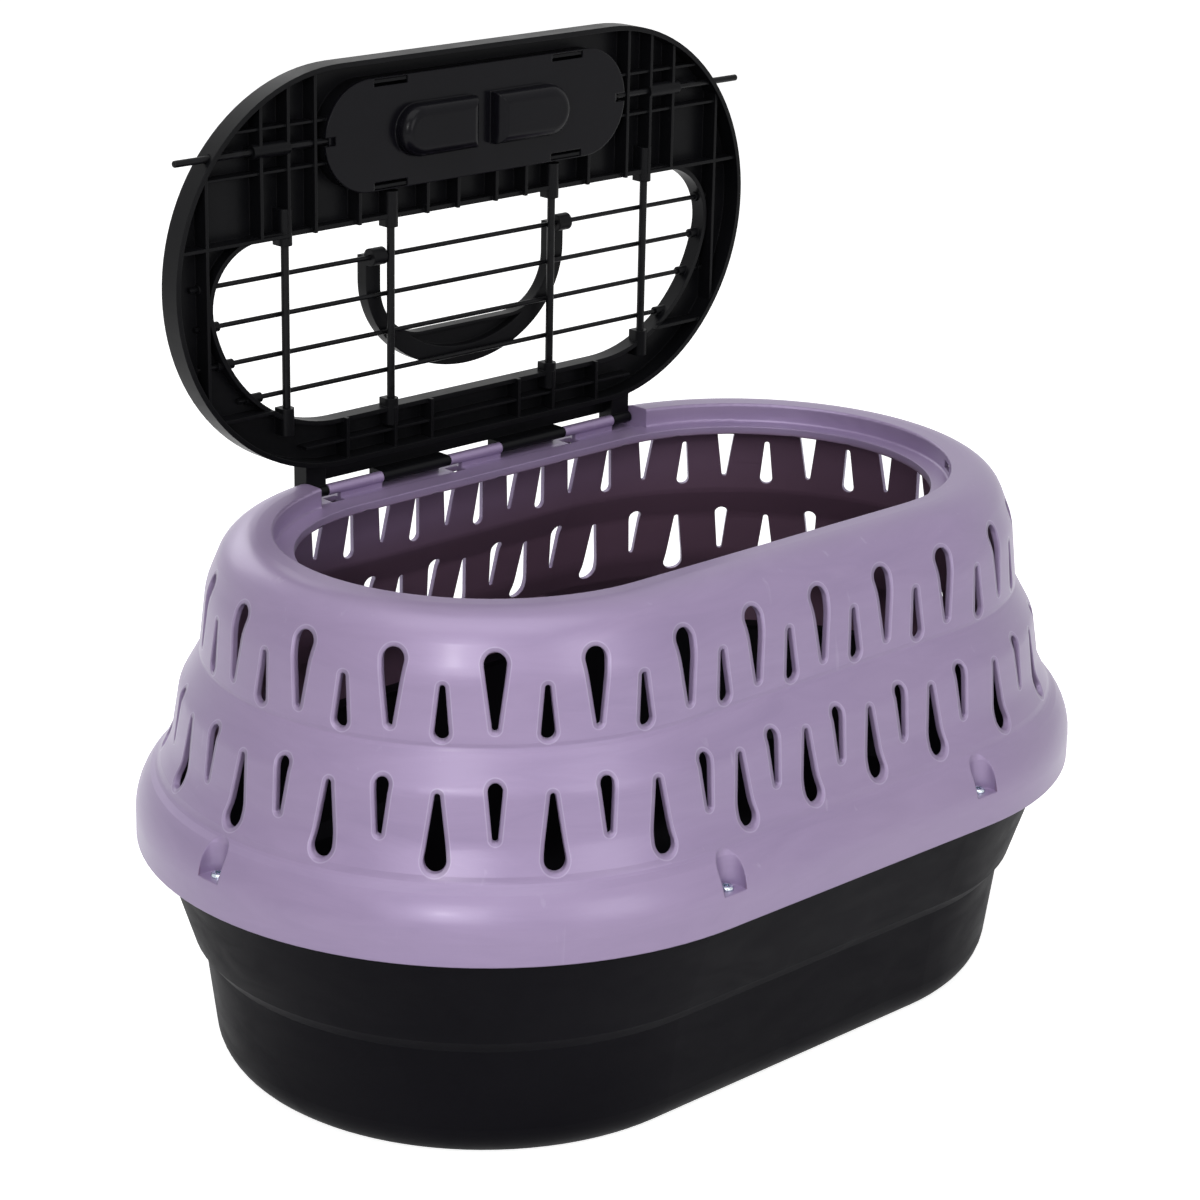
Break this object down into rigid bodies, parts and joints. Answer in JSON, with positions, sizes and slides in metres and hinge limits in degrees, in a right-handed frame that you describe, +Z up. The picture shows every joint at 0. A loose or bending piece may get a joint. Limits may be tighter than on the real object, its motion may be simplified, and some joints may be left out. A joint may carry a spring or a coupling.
{
  "type": "top-opening cat carrier",
  "caption": "Rigid top-opening carrier for a small cat: dark tub, vented lilac shell, hinged grille lid with folding handle and a squeeze latch, lid standing open.",
  "frame": {"origin": "centre of the tub's underside, on the ground", "axes": "+X along the length, -Y towards the front, +Y towards the hinge, +Z up; the lid stands open at rest"},
  "size_m": [0.4888, 0.3178, 0.446],
  "materials": {
    "tub_plastic": "moulded, soft satin",
    "shell_plastic": "pearl lilac, satin",
    "screw_steel": "bright zinc plate",
    "pin_steel": "drawn wire",
    "lid_plastic": "moulded, satin",
    "handle_plastic": "moulded, satin",
    "cover_plastic": "moulded, half gloss",
    "slide_plastic": "moulded, satin",
    "rod_steel": "black coat",
    "grille_steel": "black coat",
    "spring_steel": "plain spring wire"
  },
  "bodies": {
    "base": {"bottom_tub": "tub_plastic", "top_shell": "shell_plastic", "shell_screws": "screw_steel", "hinge_pin": "pin_steel"},
    "lid": {"lid_frame": "lid_plastic", "latch_cover": "cover_plastic", "latch_spring_left": "spring_steel", "latch_spring_right": "spring_steel", "cross_bar_1": "grille_steel", "cross_bar_2": "grille_steel", "cross_bar_3": "grille_steel", "cross_bar_4": "grille_steel", "grille_wire_1": "grille_steel", "grille_wire_2": "grille_steel", "grille_wire_3": "grille_steel", "grille_wire_4": "grille_steel"},
    "handle": {"carry_handle": "handle_plastic"},
    "latch_left": {"latch_slide_left": "slide_plastic", "latch_rod_left": "rod_steel"},
    "latch_right": {"latch_slide_right": "slide_plastic", "latch_rod_right": "rod_steel"}
  },
  "joints": [
    {"name": "lid_hinge", "type": "hinge", "parent": "base", "child": "lid", "pos_m": [0, 0.1055, 0.2465], "axis": [1, 0, 0], "range_deg": [0, 90]},
    {"name": "handle_swing", "type": "hinge", "parent": "lid", "child": "handle", "pos_m": [0, 0.11085, 0.352], "axis": [1, 0, 0], "range_deg": [0, 105]},
    {"name": "latch_left_slide", "type": "slide", "parent": "lid", "child": "latch_left", "axis": [1, 0, 0], "range_m": [0, 0.018], "stiffness_N_per_m": 300, "springref_m": -0.003, "deforming": ["latch_spring_left"]},
    {"name": "latch_right_slide", "type": "slide", "parent": "lid", "child": "latch_right", "axis": [-1, 0, 0], "range_m": [0, 0.018], "stiffness_N_per_m": 300, "springref_m": -0.003, "deforming": ["latch_spring_right"]}
  ]
}
